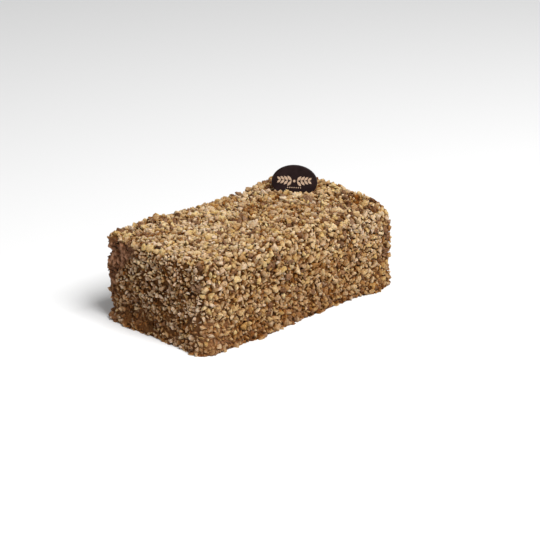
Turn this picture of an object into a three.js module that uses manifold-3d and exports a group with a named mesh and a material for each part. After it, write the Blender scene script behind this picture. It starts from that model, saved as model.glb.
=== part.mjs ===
// A loaf of crepe cake in a coat of chopped walnuts, with an oval chocolate plaque stuck in its top.
// Units are millimetres and +Z is up. The origin is on the surface the cake stands on, under its middle.
// The cake is long in X. Its long front is the -Y side, its near end is at -X, and the plaque is near +X.
import * as THREE from "three";
import { mergeVertices } from "three/addons/utils/BufferGeometryUtils.js";
import Module from "manifold-3d";

// The cake, measured over its nuts
const LENGTH = 179;
const WIDTH = 94.5;
const HEIGHT = 61.5;
const COAT = 1.6; // from the smooth block out to the typical nuts
const CORNERS = { frontRight: 4, backRight: 6, backLeft: 3, frontLeft: 8 }; // radii of the upright corners
const EDGE_ROUND = 4; // radius of the top edge

// How the soft cake has settled
const FOOT_FLARE = 1.4; // the foot spreads this far
const FOOT_HEIGHT = 6;
const WAVE = 0.5; // the walls wander this far in and out
const WAVE_LENGTH = 60;
const WAVE_SLANT = 1.7; // the waves run round the corners at this slope
const SAGS = [
  { at: [-88, -46, 50], reach: 26, by: [4.5, 4.5, -1.5] }, // front left corner, above its foot
  { at: [88, -45, 60], reach: 10, by: [-2.2, 2.2, -2.6] }, // front right top corner
  { at: [88, -45, 34], reach: 14, by: [1.2, -1.2, 0] }, // and the swelling under it
  { at: [70, -46, 0], reach: 9, by: [0, -4.4, 0] }, // front foot, from its right end on
  { at: [34, -46, 0], reach: 10, by: [0, 1.5, 0] },
  { at: [-40, -46, 0], reach: 8, by: [0, -1.8, 0] },
  { at: [-88, -34, 0], reach: 12, by: [-1.6, 0, 0] }, // foot of the near end, from the front on
  { at: [-88, 10, 0], reach: 12, by: [-1.2, 0, 0] },
  { at: [-88, 34, 0], reach: 14, by: [-1.5, 0, 0] },
  { at: [-88, 45, 36], reach: 20, by: [-1, 1, 0] }, // bare corner
  { at: [-87, 40, 58], reach: 9, by: [-1.6, 0.6, -0.5] }, // lip over it
  { at: [-80, 44, 60], reach: 22, by: [0, 0, 1.2] }, // back top edge, from the near end on
  { at: [-50, 44, 60], reach: 10, by: [0, 0, 2.4] },
  { at: [20, 44, 60], reach: 28, by: [0, 0, -1.8] },
  { at: [58, 44, 60], reach: 12, by: [0, 0, 2] },
  { at: [88, 4, 60], reach: 7, by: [0, 0, 1.6] }, // far top edge, from the back on
  { at: [88, -8, 60], reach: 6, by: [0, 0, -1.6] },
  { at: [88, 20, 0], reach: 14, by: [1.6, 0, 0] }, // foot of the far end
  { at: [-20, 46, 0], reach: 15, by: [0, 4.6, 0] }, // back foot
  { at: [47, 16.5, 60], reach: 7, by: [0, 0, 2.4] }, // heaps at the foot of the plaque
  { at: [57.5, 2.5, 60], reach: 5.5, by: [0, 0, 2.4] },
]; // where the cake has sagged or swelled: within a reach of a place, by so much each way

// The bare patch on the near end, where the nuts have come away from the cream
const BARE = { y: 36, z: 45, width: 11, height: 14 };

// The coat: close bumps of the small nuts' size, and the largest nuts standing out of it
const SEED = 20;
const BUMP_SPACING = 4.8;
const BUMP = 1.2; // the most that a bump moves any way
const NUT_SPACING = 12.5;
const NUT_SMALL = 5; // longest side of the smallest and the largest of them
const NUT_LARGE = 7;
const NUT_BREADTH = 0.8; // the other two sides, as a share of the longest
const NUT_THICKNESS = 0.7;
const NUT_UNEVEN = 0.45; // how far a corner may draw in, as a share of its distance
const NUT_TIP = THREE.MathUtils.degToRad(35); // the most that a nut is tipped either way

// The plaque
const PLAQUE = { width: 32, height: 23.5, thickness: 2.4, bevel: 0.6, bevelSteps: 2, curveSteps: 20 };
const PLAQUE_FOOT = new THREE.Vector3(53.4, 13, 57.2); // lowest point of its oval
const PLAQUE_TURN = THREE.MathUtils.degToRad(-53); // it faces the front left corner
const PLAQUE_LEAN = THREE.MathUtils.degToRad(12); // and leans back
const PLAQUE_GAP = 0.3; // clearance of its slot

const wasm = await Module();
wasm.setup();
THREE.MathUtils.seededRandom(SEED);

const halfLength = LENGTH / 2 - COAT;
const halfWidth = WIDTH / 2 - COAT;
const blockTop = HEIGHT - COAT;

// A seeded random number between two values.
const draw = (low, high) => THREE.MathUtils.lerp(low, high, THREE.MathUtils.seededRandom());

// A hump of height 1 at zero that dies away past 1 on either side.
const hump = (x) => Math.exp(-x * x);

// A closed three.js geometry as a solid for joining and cutting.
function toSolid(geometry) {
  const bare = new THREE.BufferGeometry().setAttribute("position", geometry.getAttribute("position"));
  if (geometry.index) bare.setIndex(geometry.index);
  const merged = mergeVertices(bare, 1e-4);
  return new wasm.Manifold(
    new wasm.Mesh({
      numProp: 3,
      vertProperties: merged.getAttribute("position").array,
      triVerts: new Uint32Array(merged.index.array),
    }),
  );
}

function toGeometry(solid) {
  const mesh = solid.getMesh();
  return new THREE.BufferGeometry()
    .setAttribute("position", new THREE.BufferAttribute(mesh.vertProperties, 3))
    .setIndex(new THREE.BufferAttribute(mesh.triVerts, 1));
}

// A box whose faces share their points, split into steps along each side.
function plainBlock(length, width, height, steps) {
  const box = new THREE.BoxGeometry(length, width, height, ...steps);
  return mergeVertices(box.deleteAttribute("normal").deleteAttribute("uv"));
}

// Changes every point of a geometry by a function of its place.
function movePoints(geometry, move) {
  const position = geometry.getAttribute("position");
  for (let k = 0; k < position.count; k++) {
    const p = move(new THREE.Vector3().fromBufferAttribute(position, k));
    position.setXYZ(k, p.x, p.y, p.z);
  }
  return geometry;
}

// The share of two overshoots that is left when a square corner is rounded off.
const rounding = (a, b) => Math.max(a, b) / Math.hypot(a, b);

// How far a point lies past the upright sides' inner rectangle, which is set in by an inset.
function past(p, inset) {
  return new THREE.Vector3(
    Math.sign(p.x) * Math.max(Math.abs(p.x) - halfLength + inset, 0),
    Math.sign(p.y) * Math.max(Math.abs(p.y) - halfWidth + inset, 0),
    0,
  );
}

// Rounds the square block's top edge, then its upright corners.
function roundOff(p) {
  const edge = past(p, EDGE_ROUND);
  const outward = Math.max(Math.abs(edge.x), Math.abs(edge.y));
  edge.z = Math.max(p.z - blockTop + EDGE_ROUND, 0);
  if (outward && edge.z) p.addScaledVector(edge, rounding(outward, edge.z) - 1);
  const side = p.y < 0 ? "front" : "back";
  const corner = past(p, CORNERS[side + (p.x < 0 ? "Left" : "Right")]);
  if (corner.x && corner.y) p.addScaledVector(corner, rounding(Math.abs(corner.x), Math.abs(corner.y)) - 1);
  return p;
}

// Moves a point of the rounded block to where the settled cake has it.
function settle(p) {
  const out = past(p, EDGE_ROUND).divideScalar(EDGE_ROUND);
  const phase = (2 * Math.PI) / WAVE_LENGTH;
  const wave = WAVE * Math.sin(phase * (p.x + WAVE_SLANT * p.y)) * Math.cos(phase * p.z);
  const flare = FOOT_FLARE * hump(p.z / FOOT_HEIGHT);
  const moved = p.clone().addScaledVector(out, flare + wave);
  for (const { at, reach, by } of SAGS) {
    const share = hump(p.distanceTo(new THREE.Vector3(...at)) / reach);
    moved.addScaledVector(new THREE.Vector3(...by), share);
  }
  return moved;
}

// The smooth cake under its coat, reaching one step below the surface it stands on.
function smoothBlock() {
  const size = [2 * halfLength, 2 * halfWidth, blockTop + BUMP_SPACING];
  const block = plainBlock(...size, size.map((side) => Math.round(side / BUMP_SPACING)));
  block.translate(0, 0, blockTop - size[2] / 2);
  movePoints(movePoints(block, roundOff), settle);
  block.computeVertexNormals();
  return block;
}

// How much of the bare patch there is at a place: 1 in its middle, less than 1/e outside its rim.
function bareness({ x, y, z }) {
  if (x > EDGE_ROUND - halfLength) return 0;
  return hump(Math.hypot((y - BARE.y) / BARE.width, (z - BARE.z) / BARE.height));
}

// Roughens the smooth block with the close bumps, less so on the bare patch.
function roughen(p) {
  const reach = BUMP * (1 - bareness(p));
  return p.add(new THREE.Vector3(draw(-reach, reach), draw(-reach, reach), draw(-reach, reach)));
}

// Places for the largest nuts: points of the block in a random order, each well away from those before it.
function nutPlaces(block) {
  const { position, normal } = block.attributes;
  const points = Array.from({ length: position.count }, (_, k) => ({
    place: new THREE.Vector3().fromBufferAttribute(position, k),
    normal: new THREE.Vector3().fromBufferAttribute(normal, k),
    order: draw(0, 1),
  }));
  const chosen = [];
  for (const point of points.sort((a, b) => a.order - b.order)) {
    const clear = chosen.every((other) => other.place.distanceTo(point.place) > NUT_SPACING);
    if (clear && point.place.z > 0 && bareness(point.place) < 1 / Math.E) chosen.push(point);
  }
  return chosen;
}

// A chopped nut: a block with uneven corners, turned any way and tipped a little, half sunk in the coat.
function nutChip({ place, normal }) {
  const size = draw(NUT_SMALL, NUT_LARGE);
  const chip = plainBlock(size, size * NUT_BREADTH, size * NUT_THICKNESS, [1, 1, 1]);
  const drawnIn = () => draw(1 - NUT_UNEVEN, 1);
  movePoints(chip, (p) => p.multiply(new THREE.Vector3(drawnIn(), drawnIn(), drawnIn())));
  chip.rotateX(draw(-NUT_TIP, NUT_TIP));
  chip.rotateZ(draw(0, 2 * Math.PI));
  chip.applyQuaternion(new THREE.Quaternion().setFromUnitVectors(new THREE.Vector3(0, 0, 1), normal));
  return toSolid(chip.translate(place.x, place.y, place.z));
}

// Everything under the surface that the cake stands on.
function underFloor() {
  const depth = 4 * BUMP_SPACING;
  return toSolid(new THREE.BoxGeometry(2 * LENGTH, 2 * WIDTH, depth).translate(0, 0, -depth / 2));
}

// The plaque's oval slab, bevelled, or square-edged with room to spare all round to cut its slot.
function ovalSlab(spare) {
  const bevel = spare ? 0 : PLAQUE.bevel;
  const oval = new THREE.Shape();
  oval.absellipse(0, 0, PLAQUE.width / 2 + spare, PLAQUE.height / 2 + spare, 0, 2 * Math.PI);
  const depth = PLAQUE.thickness + 2 * spare - 2 * bevel;
  const slab = new THREE.ExtrudeGeometry(oval, {
    depth,
    curveSegments: PLAQUE.curveSteps,
    bevelEnabled: bevel > 0,
    bevelSize: bevel,
    bevelOffset: -bevel,
    bevelThickness: bevel,
    bevelSegments: PLAQUE.bevelSteps,
  });
  return slab.translate(0, PLAQUE.height / 2, -depth / 2);
}

const plaque = new THREE.Mesh(
  ovalSlab(0),
  new THREE.MeshStandardMaterial({ color: "#2a1b17", roughness: 0.42, metalness: 0 }),
);
plaque.name = "plaque";
plaque.rotation.set(Math.PI / 2 - PLAQUE_LEAN, 0, PLAQUE_TURN, "ZYX");
plaque.position.copy(PLAQUE_FOOT);
plaque.updateMatrix();
const slot = toSolid(ovalSlab(PLAQUE_GAP).applyMatrix4(plaque.matrix));

const block = smoothBlock();
const nuts = nutPlaces(block)
  .map(nutChip)
  .filter((nut) => nut.intersect(slot).isEmpty());
const coated = wasm.Manifold.union([toSolid(movePoints(block, roughen)), ...nuts])
  .subtract(underFloor())
  .subtract(slot);

// Only the outermost skin is kept, so that a pocket under a nut is filled and a loose scrap is dropped.
const [whole] = coated.decompose().sort((a, b) => b.volume() - a.volume());

const cake = new THREE.Mesh(
  toGeometry(whole),
  new THREE.MeshStandardMaterial({ color: "#b18c5f", roughness: 0.8, metalness: 0 }),
);
cake.name = "cake";

const crepeCake = new THREE.Group();
crepeCake.add(cake, plaque);
export default crepeCake;
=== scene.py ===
"""The looks of a crepe cake: brown cream under chopped walnuts, and a chocolate plaque with a print."""

import math
from typing import NamedTuple

import bmesh
import bpy
import numpy as np
from mathutils import Matrix, Vector, noise


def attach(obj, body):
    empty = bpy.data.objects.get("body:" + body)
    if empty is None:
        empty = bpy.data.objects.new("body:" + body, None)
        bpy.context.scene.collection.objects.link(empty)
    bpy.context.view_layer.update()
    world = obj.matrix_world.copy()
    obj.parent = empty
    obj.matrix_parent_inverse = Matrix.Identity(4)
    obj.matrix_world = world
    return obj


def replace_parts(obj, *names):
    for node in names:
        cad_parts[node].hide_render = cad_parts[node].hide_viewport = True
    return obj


MM = 0.001  # sizes below are in millimetres, as in the part's source, and become metres in the meshes
SEED = 20
TINY = 1e-9

# The cake, measured over its typical nuts
LENGTH = 179
WIDTH = 94.5
HEIGHT = 61.5
COAT = 1.6  # from the cream out to the typical nuts
CORNER_RADII = {"front_left": 8, "front_right": 4, "back_left": 3, "back_right": 6}
EDGE_ROUND = 4
SLICE = 2.4  # spacing of the form's points

# The surface is the top, the near end or the underside where it faces that way by more than this share
TOP_FACING = 0.6
END_FACING = 0.85
UNDER_FACING = 0.9
UPRIGHT = 0.9  # and its direction counts as upright from this share on

# How the soft cake has settled
FOOT_FLARE = 1.4
FOOT_HEIGHT = 6
WAVE = 0.5
WAVE_LENGTH = 60
WAVE_SLANT = 1.7

# Where it has sagged or swelled: within a reach of a place, by so much each way
SAGS = [
    ((-88, -46, 50), 26, (4.5, 4.5, -1.5)),
    ((88, -45, 60), 10, (-2.2, 2.2, -2.6)),
    ((88, -45, 34), 14, (1.2, -1.2, 0)),
    ((70, -46, 0), 9, (0, -4.4, 0)),
    ((34, -46, 0), 10, (0, 1.5, 0)),
    ((-40, -46, 0), 8, (0, -1.8, 0)),
    ((-88, -34, 0), 12, (-1.6, 0, 0)),
    ((-88, 10, 0), 12, (-1.2, 0, 0)),
    ((-88, 34, 0), 14, (-1.5, 0, 0)),
    ((-88, 45, 36), 20, (-1, 1, 0)),
    ((-87, 40, 58), 9, (-1.6, 0.6, -0.5)),
    ((-80, 44, 60), 22, (0, 0, 1.2)),
    ((-50, 44, 60), 10, (0, 0, 2.4)),
    ((20, 44, 60), 28, (0, 0, -1.8)),
    ((58, 44, 60), 12, (0, 0, 2)),
    ((88, 4, 60), 7, (0, 0, 1.6)),
    ((88, -8, 60), 6, (0, 0, -1.6)),
    ((88, 20, 0), 14, (1.6, 0, 0)),
    ((-20, 46, 0), 15, (0, 4.6, 0)),
    ((47, 16.5, 60), 7, (0, 0, 2.4)),
    ((57.5, 2.5, 60), 5.5, (0, 0, 2.4)),
]

# The bare corner of the near end, down from its lip and in from the back, and the bare strip below it
BARE_ACROSS = 28
BARE_DOWN = 38
BARE_EDGE = 8  # how sharply the corner ends
BARE_REACH = 14  # how far it reaches round onto the back
BARE_FADE = 3  # and the length over which it fades out there
BARE_NET = 0.1  # the cream's net is finer where it is barer than this
STRIP = 7.5
STRIP_EDGE = 6  # how sharply the strip ends
STRIP_PALE = 35.2  # below this height the strip is paler
STRIP_FADE = 22  # height over which it would turn wholly pale
STRIP_PALEST = 0.8  # and the share at which it stops
LIP = 58  # height of the lip's underside, which droops at the corner
LIP_DROOP = 5
LIP_REACH = 4.5
LIP_FADE = 2

# Bulges and dents of the bare corner's cream, down from its lip: centre, reach in x, y and z, and height
BULGES = [
    ((-88, 40, 48), (8, 13, 3.5), -1.6),
    ((-89, 45, 38), (8, 8, 6), 0.7),
    ((-89, 47, 26), (7, 7, 4), -0.9),
    ((-89, 47, 17), (6, 5, 3), 0.9),
    ((-89, 47, 9), (7, 6, 4), -1.3),
    ((-90, 47, 2), (6, 6, 1.6), 1.6),
]

# Lumps of the cream, as height and size: those that the nuts press into it, and more where it is bare
CREAM_LUMPS = [(0.55, 2.6), (0.35, 1.1)]
BARE_LUMPS = [(1.5, 5), (0.9, 2.4)]
BARE_SWELL = 0.2
LUMP_RANGE = 3  # height from the lowest of them to the highest, over which their painted shade turns to painted light
LUMPS_FROM = 1  # they die away from this height down to the foot

# Holes in the coat: centre, and reach in x, y and z
HOLES = [
    ((-88, 25, 10), (6, 4.5, 4.5)),
    ((-88, 6, 8), (6, 6, 3.5)),
    ((-51, -46, 36), (3, 6, 3)),
]
HOLE_DEPTH = 3

# Share of the smallest nuts missing from the top, the walls and the near end, more in patches of a size
GAPS_TOP = 0.15
GAPS_WALL = 0.18
GAPS_END = 0.65
GAP_PATCHY = 2.4
GAP_PATCH = 5
GAP_SIZES = (2.2, 5.2)  # nuts from the first length to the second are missing less and less
LEAST_GAPS = 0.2  # down to this share
BED_GAPS = 0.6  # share of the gaps that the bed has too

# The film of cream over the nuts
FILM = 0.14
FILM_EVENNESS = 2  # the higher, the more alike on all of them
WALL_FILM = 0.13  # how much more on the walls
FOOT_FILM = 0.3  # and at the foot, up to about a height
FOOT_FILM_HEIGHT = 30
BED_FILM = 0.4  # share of it on the bed's nuts
BARE_COAT = 2  # cream on the nuts of the bare corner, and the least share of it at the corner's foot
LEAST_COAT = 0.2

# Places where more is smeared: centre, reach in x, y and z, and strength
SMEARS = [
    ((-78, -46, 9), (18, 16, 17), 1.0),
    ((80, -46, 10), (11, 8, 13), 0.45),
    ((-88, -44, 40), (9, 9, 30), 0.1),
    ((-89, 40, 54.5), (6, 20, 3.6), 1.5),
    ((-87, 12, 8), (8, 30, 8), 0.4),
]
SMEAR_DEPTH = 0.5  # how far the cream comes up between the nuts there
SMEAR_SINK = 0.1  # and how far the nuts sink into it, as a share of their length
SMEARED = 0.6  # they have all of it on them up to this height
CLEAN = 2.4  # and would be clean of it after this much more
CLEANEST = 0.2  # but for this share

# How dark the nuts are, from 0 to 1, and how much that varies
TONE = 0.405
TONE_SPREAD = 0.15
END_TONE_SPREAD = 0.25
BED_PAINTED_SHADE = 0.3  # how much darker the bed's nuts are: painted shade under the others
SUNK = 1.6  # nuts are darker up to this height: painted shade low between them, and partly cream on them
SUNK_PAINTED_SHADE = 0.23
INNER_PAINTED_SHADE = 0.28  # and darker on their inner side than on their outer: painted shade, partly cream dust on them
END_INNER_PAINTED_SHADE = 0.42
INNER_MIDDLE = 0.2  # and neither at this share of the way from their middle to their outer side
WALL_PAINTED_SHADE = 0.23  # painted shade: how much darker the nuts of the walls and the near end are at the foot, where less light reaches, than the top's at its near end
WALL_SHADE_FADE = 0.28  # and how much paler than that at the top of the walls, where more light reaches
FAR_PAINTED_SHADE = 0.2  # painted shade: how much darker the top's are at the far end, where less light reaches, than up to this far short of the middle
FADE_FROM = 45
PATCHES = [(0.8, 18), (1, 6)]  # strength and size of the patches that darker nuts gather in
PATCHY = 0.4
WALL_PATCHY = 0.15

# Darker and paler places, partly painted light and shade: paler round the front-left corner, where the
# light comes round it, and darker in the holes. Centre, reach in x, y and z, and by how much
TONES_AND_PAINTED_LIGHT = [
    ((-89, 40, 54.5), (6, 20, 3.3), 0.8),
    ((70, -46, 48), (26, 12, 13), -0.26),
    ((90, -46, 30), (10, 10, 34), 0.08),
    ((-91, -38, 45), (6, 6, 12), -0.5),
    ((-90, 0, 40), (6, 40, 30), -0.05),
    ((-88, 25, 9), (10, 9, 9), 0.3),
    ((-88, 4, 8), (10, 15, 9), 0.2),
    ((-90, 10, 1), (6, 34, 2.5), -0.35),
    ((50, -41, 61), (24, 12, 8), -0.28),
    ((82, 0, 61), (8, 10, 6), -0.15),
    ((34, 32, 61), (26, 14, 8), -0.16),
    ((13, 3, 61), (8, 8, 6), 0.18),
    ((64, -6, 61), (16, 22, 8), -0.18),
    ((-42, -45, 59), (24, 9, 8), -0.18),
    ((5, -46, 38), (20, 8, 10), 0.08),
    ((-66, -46, 43), (24, 8, 12), -0.12),
    ((-52, 34, 61), (24, 14, 8), -0.18),
    ((-88, -41, 34), (7, 9, 14), -0.4),
    ((-88, -26, 9), (7, 8, 7), -0.3),
    ((-60, -46, 52), (7, 8, 7), 0.25),
    ((-83, -44, 59), (8, 8, 6), -0.3),
]

# Hues of the nuts, from grey at 0 to golden at 1, alike in clusters of a size
GREY_HUE = 0.2  # the greyest, but for the near end's
END_SHADED_HUE = 0.75  # the near end's most golden; its nuts are greyer, partly painted for the cooler shade that the end lies in
HUE_CLUSTERED = 0.5
HUE_CLUSTER = 4.5
HUE_START = (40, 0, 0)  # sets the clusters apart from the patches

# Share of the nuts that still have their brown skin on the sides that aren't cut, more in the patches
SKINNED = 0.09
TOP_SKINNED = 0.17
SKIN_PATCHY = 1.4
FLECKED = 0.35  # how much of it the others have, as flecks


class NutKind(NamedTuple):
    """One kind of chopped nut."""

    size: tuple  # least and greatest length
    tries: int  # places where room is looked for
    apart: float  # least distance between neighbours, as a share of their mean length
    lift: tuple  # least and greatest height of their middles, as shares of their length
    detail: int  # of their shapes
    flat: float = 1  # how thick they are, next to the usual
    off_bare: float = 1  # shares left out of the bare corner, the near end and all the rest
    off_end: float = 0
    off_rest: float = 0
    in_bed: bool = False  # they lie in a bed under the others


# The chopped nuts, largest first
NUT_KINDS = {
    "walnut_chunks": NutKind((5.6, 7.6), 700, 0.95, (-0.08, 0.1), 3),
    "walnut_pieces": NutKind((4.4, 5.8), 6000, 0.62, (0.0, 0.2), 2, off_end=0.4, off_bare=0.85),
    "walnut_chips": NutKind((3.3, 4.4), 8000, 0.57, (0.0, 0.35), 2, off_bare=0.7),
    "walnut_bits": NutKind((2.3, 3.2), 9000, 0.54, (0.0, 0.45), 1, off_bare=0.6),
    "walnut_flakes": NutKind((2.4, 4.2), 9000, 0.45, (0.1, 0.4), 1, flat=0.35, off_rest=0.8),
    "walnut_grits": NutKind((1.4, 2.3), 8000, 0.62, (0.2, 0.8), 1, off_bare=0.6),
    "walnut_crumbs": NutKind((0.6, 1.3), 4000, 0.8, (0.4, 1.8), 0),
    "walnut_bed": NutKind((2.2, 3.6), 12500, 0.68, (-0.15, 0.2), 1, in_bed=True),
}
SHAPES_OF_A_KIND = 20
END_SIZE = 0.74  # the near end's nuts are smaller than the others
PLAQUE_SIZE = 0.3  # and those round the plaque are so much larger
PLAQUE_REACH = 20
PLAQUE_ROOM = 0.4  # nuts stay clear of the plaque by this share of their length
NUT_BREADTH = (0.5, 0.95)  # least and greatest, as shares of their length
NUT_THICKNESS = (0.5, 1)
TIP = 60  # degrees that nuts typically lean
CLUMP = 1.0  # how far clumps of nuts stand out on the top, the walls and the near end, and hollows go in
WALL_CLUMP = 0.75
END_CLUMP = 1.5
CLUMP_SIZE = 7
CELL = 3.0  # room is looked for in cells of this size
FLOOR_GAP = 0.05  # between the lowest nuts and what the cake stands on

# The shape of a nut, which starts as a ball of radius 1
LUMPY = 0.65  # height of its lumps
FINEST_LUMPY = 0.5  # and of those of the most detailed nuts
LUMP_RATE = 1.5  # how many follow in a length of 1
BUMPY = 0.35  # the same of the finer bumps on them
BUMP_RATE = 4
JAGGED = 0.12  # how far its points stand in or out, and those of the plainest
PLAIN_JAGGED = 0.3
LUMP_PLACES = 50  # each nut's lumps are drawn from anywhere within this
CUTS = (3, 4, 5)  # how many times nuts are cut, in turn
CRUMB_CUTS = 1
CUT_DEPTH = (0.25, 0.65)  # least and greatest distance of a cut from the middle
MERGED = 0.08  # points nearer than this become one
WORN = 0.25  # how much the cut edges are worn down
SHARP_ANGLE = 55  # degrees from which an edge is sharp

# The plaque
PLAQUE_WIDTH = 32
PLAQUE_HEIGHT = 23.5
PLAQUE_THICKNESS = 2.4
PLAQUE_BEVEL = 0.6
PLAQUE_FOOT = Vector((53.4, 13, 57.2))
PLAQUE_TURN = math.radians(-53)
PLAQUE_LEAN = math.radians(12)

# The print: a sprig on each side of a dot, over a row of small dots
PRINT_RISE = 0.6  # above the plaque's middle
PRINT_THICKNESS = 0.12
PRINT_GAP = 0.02
SPRIG_PAIRS = 4  # of leaves
SPRIG_START = 1.9  # from the middle to the first pair, and then from pair to pair
SPRIG_STEP = 2.5
SPRIG_RISE = 0.6  # of a sprig's curve, and its angle from pair to pair
SPRIG_CURVE = 0.6
LEAF_LENGTH = 4.6  # of the first pair, and how much less at each pair after it
LEAF_SHORTER = 0.4
LEAF_WIDTH = 1.9
LEAF_NARROWER = 0.1
LEAF_ANGLE = 50
LEAF_CLOSER = 4
DOT_RADIUS = 0.9
SMALL_DOTS = 7
SMALL_DOT_RADIUS = 0.4
SMALL_DOT_STEP = 1.5
SMALL_DOT_DROP = 4.6

# The view, as fitted to the cake's corners
CAMERA_PLACE = Vector((-881.2, -892.8, 529.1))
CAMERA_AIM = Vector((47.4, 30.6, 0))
CAMERA_LENS = 132.2
CAMERA_SENSOR = 36

# The light, and the floor that the cake stands on
SKY_STRENGTH = 0.41
LAMP_POWER = 49
LAMP_SIZE = 900
LAMP_PLACE = Vector((-120, -980, 1490))
FLOOR_HALF = 6000
FLOOR_GREY = (0.72, 0.72, 0.72, 1)

# Colours of the nuts: flesh from the palest tone to the darkest, its tints by hue, and skin
FLESH_TONES = [
    (0.0, (0.56, 0.43, 0.285)),
    (0.3, (0.44, 0.303, 0.164)),
    (0.55, (0.33, 0.199, 0.09)),
    (0.8, (0.19, 0.07, 0.008)),
    (1.0, (0.09, 0.023, 0.001)),
]
FLESH_TINTS = [
    (0.0, (0.97, 0.92, 0.985)),
    (0.2, (0.94, 0.928, 1.0)),
    (0.5, (0.972, 0.958, 0.945)),
    (0.75, (0.99, 0.96, 0.85)),
    (1.0, (1.0, 0.955, 0.69)),
]
SKIN_BROWNS = [
    (0.35, (0.29, 0.19, 0.122)),
    (0.65, (0.18, 0.095, 0.048)),
    (0.95, (0.09, 0.034, 0.011)),
]
MOTTLED = 0.95  # how much the mottle changes the tone
SKIN_HUED = 0.4  # how much darker the skin of golden nuts is
FLECK_SPREAD = 2.0  # flecks of skin are where the mottle, spread so much, is above a level
FLECK_LEVEL = 1.5
FLECK_EDGE = 4.0  # how sharply they end

# Colours of the cream: as a film on nuts and thick on them, bare, smeared between them, and deep, which
# is painted dark as shade between the nuts
FILM_CREAM = (0.235, 0.118, 0.05, 1)
THICK_CREAM = (0.115, 0.046, 0.02, 1)
THICK_FROM = 0.8
FILM_MOTTLED = 1.5  # how much of the film the mottle takes
# the bare cream runs from near black to pale: its own mottle, with painted shade in its hollows at the
# dark end and painted sheen, streaks of light as on glossy cream, at the pale end
BARE_CREAM_SHEEN_AND_SHADE = [(0.4, (0.02, 0.006, 0.002)), (0.5, (0.11, 0.044, 0.019)), (0.6, (0.31, 0.155, 0.086))]
SMEARED_CREAM = [(0.4, (0.09, 0.034, 0.012)), (0.6, (0.24, 0.11, 0.045))]
PAINTED_SHADE_CREAM = [(0.4, (0.025, 0.008, 0.002)), (0.6, (0.12, 0.046, 0.01))]

# Colours of the chocolate, from plain to bloomed, and of the print, from worn to whole
CHOCOLATE = [(0.35, (0.010, 0.0045, 0.0045)), (0.7, (0.019, 0.009, 0.009))]
PRINT = [(0.35, (0.36, 0.24, 0.16)), (0.65, (0.54, 0.39, 0.28))]
SHEEN = 0.06
CHOCOLATE_SHEEN = 0.15

HALF_LENGTH = LENGTH / 2 - COAT
HALF_WIDTH = WIDTH / 2 - COAT
COAT_TOP = HEIGHT - COAT

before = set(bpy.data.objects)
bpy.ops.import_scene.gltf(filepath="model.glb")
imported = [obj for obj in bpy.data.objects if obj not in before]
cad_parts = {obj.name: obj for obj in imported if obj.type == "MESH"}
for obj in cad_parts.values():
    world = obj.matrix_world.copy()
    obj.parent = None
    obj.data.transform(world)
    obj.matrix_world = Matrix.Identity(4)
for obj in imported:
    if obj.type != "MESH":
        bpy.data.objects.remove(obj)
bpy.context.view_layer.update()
rng = np.random.default_rng(SEED)


def hump(x):
    """1 at zero, dying away past 1 on either side."""
    return np.exp(-x * x)


def near(points, centre, reach):
    """1 at a centre, dying away past a reach, which is one length or one each in x, y and z."""
    return hump(np.linalg.norm((points - centre) / reach, axis=1))


def drift(places, size, start=(0, 0, 0)):
    """A smooth random change from place to place, from about -1 to 1, over lengths of a size."""
    return np.array([noise.noise(Vector(place) / size + Vector(start)) for place in places])


def by_side(normals, top, end, walls):
    """For each direction out of the cake, the value of the top, of the near end or of the walls."""
    return np.where(normals[:, 2] > TOP_FACING, top, np.where(normals[:, 0] < -END_FACING, end, walls))


def rounding(a, b):
    """The share of two overshoots that is left when a square corner is rounded off."""
    return np.maximum(a, b) / np.maximum(np.hypot(a, b), TINY)


def past(points, inset):
    """How far points lie past the upright sides' inner rectangle, which is set in by an inset."""
    x, y = points[:, 0], points[:, 1]
    past_x = np.sign(x) * np.maximum(abs(x) - HALF_LENGTH + inset, 0)
    past_y = np.sign(y) * np.maximum(abs(y) - HALF_WIDTH + inset, 0)
    return np.stack([past_x, past_y, np.zeros(len(points))], 1)


def round_off(points):
    """Rounds the square block's top edge, then its upright corners."""
    edge = past(points, EDGE_ROUND)
    outward = abs(edge).max(1)
    edge[:, 2] = np.maximum(points[:, 2] - COAT_TOP + EDGE_ROUND, 0)
    on_edge = (outward > 0) & (edge[:, 2] > 0)
    points = points + edge * np.where(on_edge, rounding(outward, edge[:, 2]) - 1, 0)[:, None]
    front = np.where(points[:, 0] < 0, CORNER_RADII["front_left"], CORNER_RADII["front_right"])
    back = np.where(points[:, 0] < 0, CORNER_RADII["back_left"], CORNER_RADII["back_right"])
    corner = past(points, np.where(points[:, 1] < 0, front, back))
    over_x, over_y = abs(corner[:, 0]), abs(corner[:, 1])
    in_corner = (over_x > 0) & (over_y > 0)
    return points + corner * np.where(in_corner, rounding(over_x, over_y) - 1, 0)[:, None]


def settle(points):
    """Moves points of the rounded block to where the settled cake has them."""
    x, y, z = points.T
    phase = 2 * math.pi / WAVE_LENGTH
    wave = WAVE * np.sin(phase * (x + WAVE_SLANT * y)) * np.cos(phase * z)
    flare = FOOT_FLARE * hump(z / FOOT_HEIGHT)
    moved = points + past(points, EDGE_ROUND) / EDGE_ROUND * (flare + wave)[:, None]
    for place, reach, by in SAGS:
        moved += near(points, place, reach)[:, None] * by
    return moved


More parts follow.
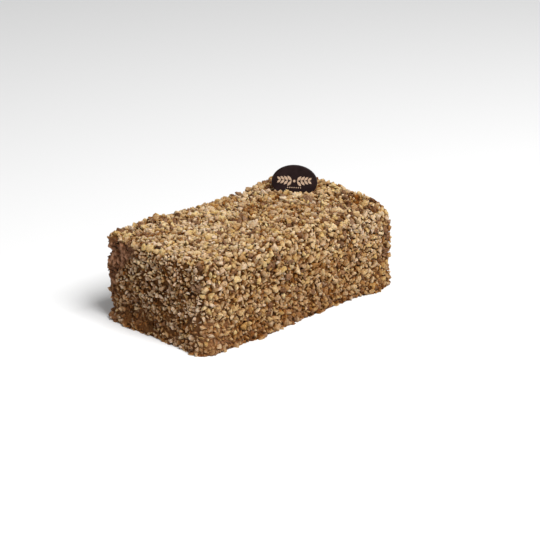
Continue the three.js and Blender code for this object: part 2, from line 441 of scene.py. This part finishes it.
def bareness(points):
    """1 on the bare corner and its strip, 0 elsewhere."""
    x, y, z = points.T
    from_back = HALF_WIDTH - y
    below_lip = LIP - LIP_DROOP * hump(from_back / LIP_REACH) - z
    corner = 1 - from_back / BARE_ACROSS - np.maximum(below_lip, 0) / BARE_DOWN
    strip = 1 - from_back / STRIP
    inside = np.maximum(BARE_EDGE * corner, STRIP_EDGE * strip)
    on_end = np.clip((BARE_REACH + BARE_FADE - x - HALF_LENGTH) / BARE_FADE, 0, 1)
    under_lip = np.clip(0.5 + below_lip / LIP_FADE, 0, 1)
    return on_end * under_lip * np.clip(inside, 0, 1)


def holes(points):
    """1 in the middle of a hole in the coat, dying away round it."""
    return np.max([near(points, centre, reach) for centre, reach in HOLES], axis=0)


def dents(points):
    """How far the cream bulges out in the bare corner, and goes in where the coat has holes."""
    heights = -HOLE_DEPTH * holes(points)
    for centre, reach, height in BULGES:
        heights += height * near(points, centre, reach)
    return heights


def smearing(points):
    """How much cream is smeared over the nuts in the smeared places."""
    return np.max([strength * near(points, centre, reach) for centre, reach, strength in SMEARS], axis=0)


def gappiness(points, normals):
    """The share of the smallest nuts that is missing, gathered in patches that let the cream show."""
    share = by_side(normals, GAPS_TOP, GAPS_END, GAPS_WALL)
    return np.clip(share * (1 + GAP_PATCHY * drift(points, GAP_PATCH)), 0, 1)


def points_of(bm):
    return np.array([v.co for v in bm.verts])


def move_points(bm, points):
    for vert, point in zip(bm.verts, points):
        vert.co = point
    bm.normal_update()


def cake_form():
    """The settled cake under its nuts, in millimetres, as an even net of faces."""
    bm = bmesh.new()
    bmesh.ops.create_cube(bm, size=1)
    bmesh.ops.scale(bm, vec=(2 * HALF_LENGTH, 2 * HALF_WIDTH, COAT_TOP), verts=bm.verts)
    bmesh.ops.translate(bm, vec=(0, 0, COAT_TOP / 2), verts=bm.verts)
    sides = [(-HALF_LENGTH, HALF_LENGTH), (-HALF_WIDTH, HALF_WIDTH), (0, COAT_TOP)]
    for axis, (low, high) in enumerate(sides):
        direction = Vector.Fill(3)
        direction[axis] = 1
        for cut in np.linspace(low, high, round((high - low) / SLICE) + 1)[1:-1]:
            geometry = bm.verts[:] + bm.edges[:] + bm.faces[:]
            bmesh.ops.bisect_plane(bm, geom=geometry, plane_co=direction * cut, plane_no=direction)
    move_points(bm, settle(round_off(points_of(bm))))
    return bm


def new_piece(name, bm, material):
    """Turns a bmesh in millimetres into a piece that rides with the cake."""
    bmesh.ops.scale(bm, vec=(MM, MM, MM), verts=bm.verts)
    mesh = bpy.data.meshes.new(name)
    bm.to_mesh(mesh)
    bm.free()
    return place_piece(name, mesh, material)


def place_piece(name, mesh, material):
    piece = bpy.data.objects.new(name, mesh)
    bpy.context.scene.collection.objects.link(piece)
    mesh.materials.append(material)
    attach(piece, "root")
    return piece


def cream_body(form, material):
    """The cream that shows between the nuts, lumpy with the nuts pressed into it."""
    bm = form.copy()
    bmesh.ops.subdivide_edges(bm, edges=bm.edges, cuts=1, use_grid_fill=True)
    in_bare = set(np.flatnonzero(bareness(points_of(bm)) > BARE_NET))
    bared = [e for e in bm.edges if e.verts[0].index in in_bare and e.verts[1].index in in_bare]
    bmesh.ops.subdivide_edges(bm, edges=bared, cuts=1, use_grid_fill=True)
    bm.normal_update()
    points = points_of(bm)
    normals = np.array([v.normal for v in bm.verts])
    bare, smear = bareness(points), np.minimum(smearing(points), 1)
    lumps = sum(height * drift(points, size) for height, size in CREAM_LUMPS)
    lumps += bare * sum((height * drift(points, size) for height, size in BARE_LUMPS), BARE_SWELL)
    rise = lumps + SMEAR_DEPTH * smear + dents(points)
    rise *= np.minimum(points[:, 2] / LUMPS_FROM, 1)
    move_points(bm, points + normals * rise[:, None])
    for face in bm.faces:
        face.smooth = True
    piece = new_piece("cream_body", bm, material)
    layer = piece.data.color_attributes.new("cream", "FLOAT_COLOR", "POINT")
    pale = np.clip((STRIP_PALE - points[:, 2]) / STRIP_FADE, 0, STRIP_PALEST)
    # where the cream is not spread, and in the holes, it takes the deep colours, which hold painted shade
    spread = np.maximum(smear, pale * bare) * (1 - holes(points))
    # painted light and shade on the lumps: the cream is paler on their tops and darker in their hollows
    lit_lumps = np.clip(0.5 + lumps / LUMP_RANGE, 0, 1)
    looks = np.stack([bare * (1 - pale), spread, lit_lumps, np.ones(len(bare))], 1)
    layer.data.foreach_set("color", looks.ravel())
    return piece


def chopped_nut(cuts, detail):
    """A lump of nut cut by planes: its points, its triangles, and which of those still have skin."""
    bm = bmesh.new()
    bmesh.ops.create_icosphere(bm, subdivisions=max(detail, 1), radius=1)
    start = Vector(rng.uniform(-LUMP_PLACES, LUMP_PLACES, 3))
    jagged = PLAIN_JAGGED if detail < 2 else JAGGED
    lumpy = FINEST_LUMPY if detail > 2 else LUMPY
    for vert in bm.verts:
        lumps = lumpy * noise.noise(vert.co * LUMP_RATE + start)
        lumps += BUMPY * noise.noise(vert.co * BUMP_RATE + start)
        vert.co *= 1 + lumps + rng.uniform(-jagged, jagged)
    skin = bm.faces.layers.int.new("skin")
    for face in bm.faces:
        face[skin] = 1
    for _ in range(cuts):
        direction = Vector(rng.normal(size=3)).normalized()
        geometry = bm.verts[:] + bm.edges[:] + bm.faces[:]
        place = direction * rng.uniform(*CUT_DEPTH)
        bmesh.ops.bisect_plane(bm, geom=geometry, plane_co=place, plane_no=direction, clear_outer=True)
        bmesh.ops.holes_fill(bm, edges=bm.edges)
    bmesh.ops.remove_doubles(bm, verts=bm.verts, dist=MERGED)
    bmesh.ops.triangulate(bm, faces=bm.faces)
    all_ways = {"use_axis_x": True, "use_axis_y": True, "use_axis_z": True}
    for _ in range(2 if detail > 1 else 1):
        bmesh.ops.smooth_vert(bm, verts=bm.verts, factor=WORN, **all_ways)
    bmesh.ops.recalc_face_normals(bm, faces=bm.faces)
    points = points_of(bm)
    low, high = points.min(0), points.max(0)
    points = (points - (low + high) / 2) * 2 / (high - low)
    triangles = np.array([[v.index for v in face.verts] for face in bm.faces])
    skins = np.array([face[skin] for face in bm.faces])
    bm.free()
    return points, triangles, skins


class Surface:
    """The triangles of the cake's walls and top, to draw places from."""

    def __init__(self, form):
        corners, normals = [], []
        for loops in form.calc_loop_triangles():
            if loops[0].face.normal.z > -UNDER_FACING:
                corners.append([loop.vert.co for loop in loops])
                normals.append([loop.vert.normal for loop in loops])
        self.corners = np.array(corners)
        self.normals = np.array(normals)
        a, b, c = self.corners.transpose(1, 0, 2)
        areas = np.linalg.norm(np.cross(b - a, c - a), axis=1)
        self.shares = np.cumsum(areas) / areas.sum()

    def draw(self, count):
        """Random places on the surface, evenly likely all over, and the directions out of it."""
        chosen = np.searchsorted(self.shares, rng.random(count))
        weights = rng.dirichlet((1, 1, 1), count)
        places = np.einsum("nk,nkd->nd", weights, self.corners[chosen])
        normals = np.einsum("nk,nkd->nd", weights, self.normals[chosen])
        return places, normals / np.linalg.norm(normals, axis=1, keepdims=True)


def plaque_matrix():
    turn = Matrix.Rotation(PLAQUE_TURN, 4, "Z") @ Matrix.Rotation(math.pi / 2 - PLAQUE_LEAN, 4, "X")
    return Matrix.Translation(PLAQUE_FOOT) @ turn


def on_plaque(places, sizes):
    """Whether nuts of these sizes would stand in the plaque."""
    inverse = np.array(plaque_matrix().inverted())
    across, up, through = (places @ inverse[:3, :3].T + inverse[:3, 3]).T
    spare = PLAQUE_ROOM * sizes
    half_width = PLAQUE_WIDTH / 2 + spare
    half_height = PLAQUE_HEIGHT / 2 + spare
    in_oval = np.hypot(across / half_width, (up - PLAQUE_HEIGHT / 2) / half_height) < 1
    return in_oval & (abs(through) < PLAQUE_THICKNESS / 2 + spare)


def find_room(places, sizes, apart, cells):
    """The places where a nut finds room among those already in the cells, in the order they are tried."""
    steps = [(i, j, k) for i in (-1, 0, 1) for j in (-1, 0, 1) for k in (-1, 0, 1)]
    found = []
    for index, ((x, y, z), size) in enumerate(zip(places.tolist(), sizes.tolist())):
        i, j, k = int(x // CELL), int(y // CELL), int(z // CELL)
        neighbours = [other for a, b, c in steps for other in cells.get((i + a, j + b, k + c), ())]
        room = all(
            (x - p) ** 2 + (y - q) ** 2 + (z - r) ** 2 > (apart * (size + other) / 2) ** 2
            for p, q, r, other in neighbours
        )
        if room:
            cells.setdefault((i, j, k), []).append((x, y, z, size))
            found.append(index)
    return np.array(found)


def turned(normals, tip):
    """Rotation matrices that stand nuts on a surface, turned any way and tipped over."""
    count = len(normals)
    upright = abs(normals[:, 2:]) > UPRIGHT
    first = np.cross(normals, np.where(upright, [1.0, 0, 0], [0, 0, 1.0]))
    first /= np.linalg.norm(first, axis=1, keepdims=True)
    stand = np.stack([first, np.cross(normals, first), normals], 2)
    spin = rng.uniform(0, 2 * math.pi, count)
    lean = rng.normal(0, tip, count)
    aim = rng.uniform(0, 2 * math.pi, count)
    turn = np.zeros((3, count, 3, 3))
    for matrix, angle, (a, b, c) in zip(turn, (spin, lean, aim), ((0, 1, 2), (1, 2, 0), (0, 1, 2))):
        matrix[:, a, a] = matrix[:, b, b] = np.cos(angle)
        matrix[:, a, b] = -np.sin(angle)
        matrix[:, b, a] = np.sin(angle)
        matrix[:, c, c] = 1
    return stand @ turn[2] @ turn[1] @ turn[0]


def nut_places(kind, surface, cells):
    """Where nuts of a kind find room: their places, the directions out of the cake and their lengths."""
    places, normals = surface.draw(kind.tries)
    sizes = rng.uniform(*kind.size, kind.tries) * by_side(normals, 1, END_SIZE, 1)
    sizes *= 1 + PLAQUE_SIZE * near(places, PLAQUE_FOOT, PLAQUE_REACH)
    least, most = GAP_SIZES
    small = np.clip((most - sizes) / (most - least), LEAST_GAPS, 1)
    gaps = np.maximum(gappiness(places, normals) * small, holes(places))
    missing = np.maximum(bareness(places) * kind.off_bare, gaps * (BED_GAPS if kind.in_bed else 1))
    missing = np.maximum(missing, by_side(normals, kind.off_rest, kind.off_end, kind.off_rest))
    kept = (rng.random(kind.tries) > missing) & ~on_plaque(places, sizes)
    places, normals, sizes = places[kept], normals[kept], sizes[kept]
    found = find_room(places, sizes, kind.apart, {} if kind.in_bed else cells)
    return places[found], normals[found], sizes[found]


def cream_on_nuts(kind, places, normals):
    """How much cream each nut has on it."""
    film = FILM + by_side(normals, 0, 0, WALL_FILM) + FOOT_FILM * hump(places[:, 2] / FOOT_FILM_HEIGHT)
    film *= rng.gamma(FILM_EVENNESS, 1 / FILM_EVENNESS, len(places))
    coat = BARE_COAT * bareness(places) * np.clip(places[:, 2] / BARE_DOWN, LEAST_COAT, 1)
    return np.maximum(smearing(places), film) * (BED_FILM if kind.in_bed else 1) + coat


def nut_stances(kind, places, normals, sizes, smear):
    """The middle of each nut, and the matrix that sizes it, turns it and tips it over."""
    count = len(places)
    lift = (rng.uniform(*kind.lift, count) - SMEAR_SINK * np.minimum(smear, 1)) * sizes
    clump = 0 if kind.in_bed else by_side(normals, CLUMP, END_CLUMP, WALL_CLUMP)
    covered = 1 - np.maximum(bareness(places), holes(places))
    rise = covered * (lift + clump * drift(places, CLUMP_SIZE)) + dents(places)
    breadth = rng.uniform(*NUT_BREADTH, count)
    thickness = kind.flat * rng.uniform(*NUT_THICKNESS, count)
    sides = sizes[:, None] / 2 * np.stack([np.ones(count), breadth, thickness], 1)
    return places + normals * rise[:, None], turned(normals, math.radians(TIP)) * sides[:, None, :]


def nut_looks(kind, places, normals, smear):
    """The tone, skin, cream and hue of each nut, with painted shade and light in the tone."""
    count = len(places)
    far = np.clip((places[:, 0] + FADE_FROM) / (HALF_LENGTH + FADE_FROM), 0, 1)
    # painted shade: darker at the top's far end, and at the foot of the walls and the near end
    walls = WALL_PAINTED_SHADE - WALL_SHADE_FADE * places[:, 2] / HEIGHT
    faded = by_side(normals, FAR_PAINTED_SHADE * far, walls, walls)
    # some of these places are painted light and shade
    for centre, reach, by in TONES_AND_PAINTED_LIGHT:
        faded += by * near(places, centre, reach)
    patches = sum(strength * drift(places, size) for strength, size in PATCHES)
    patchy = by_side(normals, PATCHY, PATCHY, WALL_PATCHY) * patches
    spread = by_side(normals, TONE_SPREAD, END_TONE_SPREAD, TONE_SPREAD)
    tone = TONE + rng.normal(0, 1, count) * spread
    # the bed's nuts are painted darker, as shade under the others
    tone = np.clip(tone + patchy + faded + BED_PAINTED_SHADE * kind.in_bed, 0, 1)
    skinned = by_side(normals, TOP_SKINNED, SKINNED, SKINNED) * (1 + SKIN_PATCHY * patches)
    skin = np.where(rng.random(count) < skinned, 1, FLECKED)
    golden = rng.random(count) + HUE_CLUSTERED * drift(places, HUE_CLUSTER, HUE_START)
    golden = np.clip(golden, 0, 1)
    usual = GREY_HUE + (1 - GREY_HUE) * golden
    # the near end's nuts are greyer, partly painted for its cooler shade
    hue = by_side(normals, usual, END_SHADED_HUE * golden**2, usual)
    return np.stack([tone, skin, smear, hue], 1)


def scatter_nuts(name, surface, cells, material):
    """All the nuts of one kind as one piece, joined from a few shapes."""
    kind = NUT_KINDS[name]
    shapes = []
    for number in range(SHAPES_OF_A_KIND):
        cuts = CUTS[number % len(CUTS)] if kind.detail else CRUMB_CUTS
        shapes.append(chopped_nut(cuts, kind.detail))
    places, normals, sizes = nut_places(kind, surface, cells)
    smear = cream_on_nuts(kind, places, normals)
    middles, stances = nut_stances(kind, places, normals, sizes, smear)
    looks = nut_looks(kind, places, normals, smear)
    inner = by_side(normals, INNER_PAINTED_SHADE, END_INNER_PAINTED_SHADE, INNER_PAINTED_SHADE)
    all_points, all_triangles, all_looks, base = [], [], [], 0
    for number, (points, triangles, skins) in enumerate(shapes):
        mine = np.arange(number, len(places), SHAPES_OF_A_KIND)
        moved = np.einsum("nij,vj->nvi", stances[mine], points) + middles[mine, None]
        heights = np.einsum("nvi,ni->nv", moved - places[mine, None], normals[mine])
        outer = 2 * np.einsum("nvi,ni->nv", moved - middles[mine, None], normals[mine])
        # painted shade: darker low between the nuts and on each nut's inner side
        darker = SUNK_PAINTED_SHADE * np.clip(1 - heights / SUNK, 0, 1)
        darker += inner[mine, None] * (INNER_MIDDLE - outer / sizes[mine, None])
        smeared = np.clip(1 + (SMEARED - heights) / CLEAN, CLEANEST, 1)
        look = np.tile(looks[mine, None, None], (1, len(triangles), 3, 1))
        look[..., 0] += darker[:, triangles]
        look[..., 1] *= skins[:, None]
        look[..., 2] *= smeared[:, triangles]
        starts = base + np.arange(len(mine)) * len(points)
        all_points.append(moved.reshape(-1, 3))
        all_triangles.append((triangles[None] + starts[:, None, None]).reshape(-1, 3))
        all_looks.append(look.reshape(-1, 4))
        base += moved.shape[0] * moved.shape[1]
    points = np.concatenate(all_points)
    points[:, 2] = np.maximum(points[:, 2], FLOOR_GAP)
    mesh = joined_mesh(name, points, np.concatenate(all_triangles), np.concatenate(all_looks))
    return place_piece(name, mesh, material)


def joined_mesh(name, points, triangles, looks):
    """A mesh in metres from arrays of points, triangles and the look of each triangle's corners."""
    mesh = bpy.data.meshes.new(name)
    mesh.vertices.add(len(points))
    mesh.vertices.foreach_set("co", (points * MM).ravel())
    mesh.loops.add(triangles.size)
    mesh.loops.foreach_set("vertex_index", triangles.ravel())
    mesh.polygons.add(len(triangles))
    mesh.polygons.foreach_set("loop_start", np.arange(0, triangles.size, 3))
    mesh.update(calc_edges=True)
    mesh.shade_smooth()
    mesh.set_sharp_from_angle(angle=math.radians(SHARP_ANGLE))
    layer = mesh.color_attributes.new("nut", "FLOAT_COLOR", "CORNER")
    layer.data.foreach_set("color", looks.ravel())
    return mesh


def new_material(name):
    material = bpy.data.materials.new(name)
    material.use_nodes = True
    surface = material.node_tree.nodes["Principled BSDF"]
    surface.inputs["Specular IOR Level"].default_value = SHEEN
    return material, material.node_tree, surface


def socket_of(node, key):
    """The input that a key names: by number after an underscore, or by words joined with them."""
    if key.startswith("_"):
        return node.inputs[int(key[1:])]
    return node.inputs[key.replace("_", " ")]


def add(tree, kind, settings=None, **inputs):
    """Adds a shader node, sets it up, and links or sets its inputs."""
    node = tree.nodes.new(kind)
    for key, value in (settings or {}).items():
        setattr(node, key, value)
    for key, value in inputs.items():
        socket = socket_of(node, key)
        if isinstance(value, bpy.types.NodeSocket):
            tree.links.new(value, socket)
        else:
            socket.default_value = value
    return node


def ramp(tree, value, stops):
    node = add(tree, "ShaderNodeValToRGB", Fac=value)
    elements = node.color_ramp.elements
    while len(elements) < len(stops):
        elements.new(0.5)
    for element, (position, colour) in zip(elements, stops):
        element.position = position
        element.color = (*colour, 1)
    return node.outputs["Color"]


def math_node(tree, operation, a, b, clamp=False):
    settings = {"operation": operation, "use_clamp": clamp}
    return add(tree, "ShaderNodeMath", settings, _0=a, _1=b).outputs[0]


def weighed(tree, *parts):
    """The sum of values, each times its weight."""
    total = 0.0
    for value, weight in parts:
        total = math_node(tree, "ADD", total, math_node(tree, "MULTIPLY", value, weight))
    return total


def mix_colour(tree, share, a, b, blend="MIX"):
    settings = {"data_type": "RGBA", "blend_type": blend}
    return add(tree, "ShaderNodeMix", settings, _0=share, _6=a, _7=b).outputs[2]


def uneven_finish():
    """The shader group that the finishes share: an uneven pattern, and the roughness that follows it."""
    group = bpy.data.node_groups.new("uneven_finish", "ShaderNodeTree")
    group.interface.new_socket("Vector", in_out="INPUT", socket_type="NodeSocketVector")
    for name in ("Scale", "Detail", "Fineness", "Base Roughness", "Roughness Change"):
        group.interface.new_socket(name, in_out="INPUT", socket_type="NodeSocketFloat")
    for name in ("Pattern", "Roughness"):
        group.interface.new_socket(name, in_out="OUTPUT", socket_type="NodeSocketFloat")
    given = add(group, "NodeGroupInput").outputs
    inputs = {name: given[name] for name in ("Vector", "Scale", "Detail")}
    pattern = add(group, "ShaderNodeTexNoise", **inputs, Roughness=given["Fineness"]).outputs["Fac"]
    change = math_node(group, "MULTIPLY", pattern, given["Roughness Change"])
    rough = math_node(group, "ADD", given["Base Roughness"], change)
    add(group, "NodeGroupOutput", Pattern=pattern, Roughness=rough)
    return group


def uneven(tree, group, place, scale, detail, fineness=0.5, rough=0.0, change=0.0):
    """Puts the shared group in a finish, with the finish's own values. Gives its outputs."""
    values = {"Scale": scale, "Detail": detail, "Fineness": fineness}
    values |= {"Base_Roughness": rough, "Roughness_Change": change}
    return add(tree, "ShaderNodeGroup", {"node_tree": group}, Vector=place, **values).outputs


def add_relief(tree, surface, height, strength, depth):
    bump = add(tree, "ShaderNodeBump", Strength=strength, Distance=depth * MM, Height=height)
    tree.links.new(bump.outputs["Normal"], surface.inputs["Normal"])


def walnut_material(group):
    """Pale to golden flesh, brown skin on the sides that kept it, and cream where it is smeared."""
    material, tree, surface = new_material("chopped_walnut")
    look = add(tree, "ShaderNodeAttribute", {"attribute_name": "nut"})
    tone, skin, smear = add(tree, "ShaderNodeSeparateColor", Color=look.outputs["Color"]).outputs
    hue = look.outputs["Alpha"]
    place = add(tree, "ShaderNodeTexCoord").outputs["Object"]
    mottle = uneven(tree, group, place, scale=900, detail=4, fineness=0.6)["Pattern"]
    grain = uneven(tree, group, place, scale=3200, detail=2, rough=0.72, change=-0.3)
    mottled = math_node(tree, "SUBTRACT", mottle, 0.5)
    flesh = ramp(tree, weighed(tree, (tone, 1.0), (mottled, MOTTLED)), FLESH_TONES)
    flesh = mix_colour(tree, 1.0, flesh, ramp(tree, hue, FLESH_TINTS), "MULTIPLY")
    brown = ramp(tree, weighed(tree, (mottle, 1.0), (hue, SKIN_HUED)), SKIN_BROWNS)
    flecks = math_node(tree, "SUBTRACT", math_node(tree, "MULTIPLY", mottle, FLECK_SPREAD), FLECK_LEVEL)
    skinned = math_node(tree, "MULTIPLY", math_node(tree, "ADD", skin, flecks), FLECK_EDGE, clamp=True)
    colour = mix_colour(tree, skinned, flesh, brown)
    taken = math_node(tree, "MULTIPLY", mottle, FILM_MOTTLED)
    film = math_node(tree, "MULTIPLY", smear, taken, clamp=True)
    thick = math_node(tree, "SUBTRACT", smear, THICK_FROM, clamp=True)
    colour = mix_colour(tree, film, colour, mix_colour(tree, thick, FILM_CREAM, THICK_CREAM))
    tree.links.new(colour, surface.inputs["Base Color"])
    tree.links.new(grain["Roughness"], surface.inputs["Roughness"])
    surface.inputs["Subsurface Weight"].default_value = 0.6
    surface.inputs["Subsurface Radius"].default_value = (0.8, 0.55, 0.35)
    surface.inputs["Subsurface Scale"].default_value = 1.1 * MM
    height = weighed(tree, (mottle, 1.0), (grain["Pattern"], 0.35))
    add_relief(tree, surface, height, strength=1.0, depth=0.7)
    return material


def cream_material(group):
    """Brown cream with nut dust in it, satin where it is smooth, with painted shade between the nuts and
    painted light and shade on its bare lumps and streaks.
    """
    material, tree, surface = new_material("brown_cream")
    place = add(tree, "ShaderNodeTexCoord").outputs["Object"]
    upright = add(tree, "ShaderNodeMapping", Vector=place, Scale=(1, 1, 0.8)).outputs["Vector"]
    cloud = uneven(tree, group, upright, scale=380, detail=3, fineness=0.55, rough=0.8, change=-0.4)
    dust = uneven(tree, group, place, scale=1500, detail=3)["Pattern"]
    look = add(tree, "ShaderNodeAttribute", {"attribute_name": "cream"})
    bare, smear, lit_lumps = add(tree, "ShaderNodeSeparateColor", Color=look.outputs["Color"]).outputs
    # the lumps' painted light and shade goes into the cream's colour here
    height = weighed(tree, (cloud["Pattern"], 0.5), (dust, 0.3), (lit_lumps, 0.2))
    # between the nuts the cream takes the deep colours, darkened with painted shade, where it is not
    # smeared
    between = mix_colour(tree, smear, ramp(tree, height, PAINTED_SHADE_CREAM), ramp(tree, height, SMEARED_CREAM))
    colour = mix_colour(tree, bare, between, ramp(tree, height, BARE_CREAM_SHEEN_AND_SHADE))
    tree.links.new(colour, surface.inputs["Base Color"])
    tree.links.new(cloud["Roughness"], surface.inputs["Roughness"])
    add_relief(tree, surface, height, strength=0.8, depth=0.9)
    return material


def chocolate_material(group):
    """Near-black chocolate with a soft gloss and a faint bloom."""
    material, tree, surface = new_material("dark_chocolate")
    place = add(tree, "ShaderNodeTexCoord").outputs["Object"]
    bloom = uneven(tree, group, place, scale=180, detail=5, fineness=0.6, rough=0.3, change=0.3)
    grain = uneven(tree, group, place, scale=2400, detail=2)["Pattern"]
    tree.links.new(ramp(tree, bloom["Pattern"], CHOCOLATE), surface.inputs["Base Color"])
    tree.links.new(bloom["Roughness"], surface.inputs["Roughness"])
    surface.inputs["Specular IOR Level"].default_value = CHOCOLATE_SHEEN
    add_relief(tree, surface, grain, strength=0.12, depth=0.1)
    return material


def print_material(group):
    """The pale sugar print, slightly worn."""
    material, tree, surface = new_material("pale_print")
    place = add(tree, "ShaderNodeTexCoord").outputs["Object"]
    wear = uneven(tree, group, place, scale=1400, detail=3, rough=0.45, change=0.3)
    tree.links.new(ramp(tree, wear["Pattern"], PRINT), surface.inputs["Base Color"])
    tree.links.new(wear["Roughness"], surface.inputs["Roughness"])
    return material


def thicken(bm, thickness):
    """Gives flat faces a thickness, upwards."""
    made = bmesh.ops.extrude_face_region(bm, geom=bm.faces[:])
    raised = [v for v in made["geom"] if isinstance(v, bmesh.types.BMVert)]
    bmesh.ops.translate(bm, vec=(0, 0, thickness), verts=raised)
    bmesh.ops.recalc_face_normals(bm, faces=bm.faces)


def plaque_slab(material):
    """The oval slab with its rounded edge."""
    bm = bmesh.new()
    bmesh.ops.create_circle(bm, cap_ends=True, segments=96, radius=0.5)
    bmesh.ops.scale(bm, vec=(PLAQUE_WIDTH, PLAQUE_HEIGHT, 1), verts=bm.verts)
    bmesh.ops.translate(bm, vec=(0, PLAQUE_HEIGHT / 2, -PLAQUE_THICKNESS / 2), verts=bm.verts)
    thicken(bm, PLAQUE_THICKNESS)
    rims = [e for e in bm.edges if abs(e.verts[0].co.z - e.verts[1].co.z) < TINY]
    bmesh.ops.bevel(
        bm, geom=rims, offset=PLAQUE_BEVEL, affect="EDGES", segments=4, profile=0.5, material=-1
    )
    for face in bm.faces:
        face.smooth = len(face.verts) == 4
    bmesh.ops.transform(bm, matrix=plaque_matrix(), verts=bm.verts)
    return new_piece("plaque_slab", bm, material)


def leaf(bm, length, width, matrix):
    """A flat pointed leaf of the print, from its stalk at the origin along X."""
    made = bmesh.ops.create_circle(bm, cap_ends=True, segments=16, radius=0.5)
    for vert in made["verts"]:
        along = vert.co.x + 0.5
        narrow = math.sin(math.pi * min(max(along, 0), 1)) ** 0.5
        vert.co = (along * length, vert.co.y * width * narrow, 0)
    bmesh.ops.transform(bm, matrix=matrix, verts=made["verts"])


def plaque_print(material):
    """A plain sprig on each side of a dot, printed across the plaque over a row of small dots."""
    bm = bmesh.new()
    for side in (-1, 1):
        for pair in range(SPRIG_PAIRS):
            along = SPRIG_START + SPRIG_STEP * pair
            place = Matrix.Translation((side * along, SPRIG_RISE * math.sin(SPRIG_CURVE * pair), 0))
            length = LEAF_LENGTH - LEAF_SHORTER * pair
            width = LEAF_WIDTH - LEAF_NARROWER * pair
            for sway in (-1, 1):
                angle = sway * math.radians(LEAF_ANGLE - LEAF_CLOSER * pair)
                turn = Matrix.Rotation(angle if side > 0 else math.pi - angle, 4, "Z")
                leaf(bm, length, width, place @ turn)
    bmesh.ops.create_circle(bm, cap_ends=True, segments=20, radius=DOT_RADIUS)
    for number in range(SMALL_DOTS):
        across = SMALL_DOT_STEP * (number - (SMALL_DOTS - 1) / 2)
        place = Matrix.Translation((across, -SMALL_DOT_DROP, 0))
        bmesh.ops.create_circle(bm, cap_ends=True, segments=12, radius=SMALL_DOT_RADIUS, matrix=place)
    thicken(bm, PRINT_THICKNESS)
    place = Matrix.Translation((0, PLAQUE_HEIGHT / 2 + PRINT_RISE, PLAQUE_THICKNESS / 2 + PRINT_GAP))
    bmesh.ops.transform(bm, matrix=plaque_matrix() @ place, verts=bm.verts)
    return new_piece("plaque_print", bm, material)


def pale_floor():
    bm = bmesh.new()
    bmesh.ops.create_grid(bm, x_segments=1, y_segments=1, size=FLOOR_HALF * MM)
    mesh = bpy.data.meshes.new("floor")
    bm.to_mesh(mesh)
    bm.free()
    floor = bpy.data.objects.new("floor", mesh)
    bpy.context.scene.collection.objects.link(floor)
    material, _, surface = new_material("pale_floor")
    surface.inputs["Base Color"].default_value = FLOOR_GREY
    surface.inputs["Roughness"].default_value = 0.6
    mesh.materials.append(material)


def studio_light():
    """Even light from all round, and a large soft lamp above the long front."""
    world = bpy.data.worlds.new("studio")
    world.use_nodes = True
    background = world.node_tree.nodes["Background"]
    background.inputs["Color"].default_value = (1, 1, 1, 1)
    background.inputs["Strength"].default_value = SKY_STRENGTH
    bpy.context.scene.world = world
    lamp = bpy.data.lights.new("key", "AREA")
    lamp.energy = LAMP_POWER
    lamp.size = LAMP_SIZE * MM
    key = bpy.data.objects.new("key", lamp)
    key.location = LAMP_PLACE * MM
    key.rotation_euler = (-LAMP_PLACE).to_track_quat("-Z", "Y").to_euler()
    bpy.context.scene.collection.objects.link(key)


def photo_camera():
    data = bpy.data.cameras.new("camera")
    data.lens = CAMERA_LENS
    data.sensor_width = CAMERA_SENSOR
    camera = bpy.data.objects.new("camera", data)
    camera.location = CAMERA_PLACE * MM
    camera.rotation_euler = (CAMERA_AIM - CAMERA_PLACE).to_track_quat("-Z", "Y").to_euler()
    bpy.context.scene.collection.objects.link(camera)
    bpy.context.scene.camera = camera


photo_camera()
studio_light()
pale_floor()
bpy.context.scene.view_settings.view_transform = "Standard"

finish = uneven_finish()
form = cake_form()
cream = cream_body(form, cream_material(finish))
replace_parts(cream, "cake")
surface = Surface(form)
form.free()
walnut = walnut_material(finish)
taken = {}
for name in NUT_KINDS:
    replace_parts(scatter_nuts(name, surface, taken, walnut), "cake")
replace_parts(plaque_slab(chocolate_material(finish)), "plaque")
plaque_print(print_material(finish))
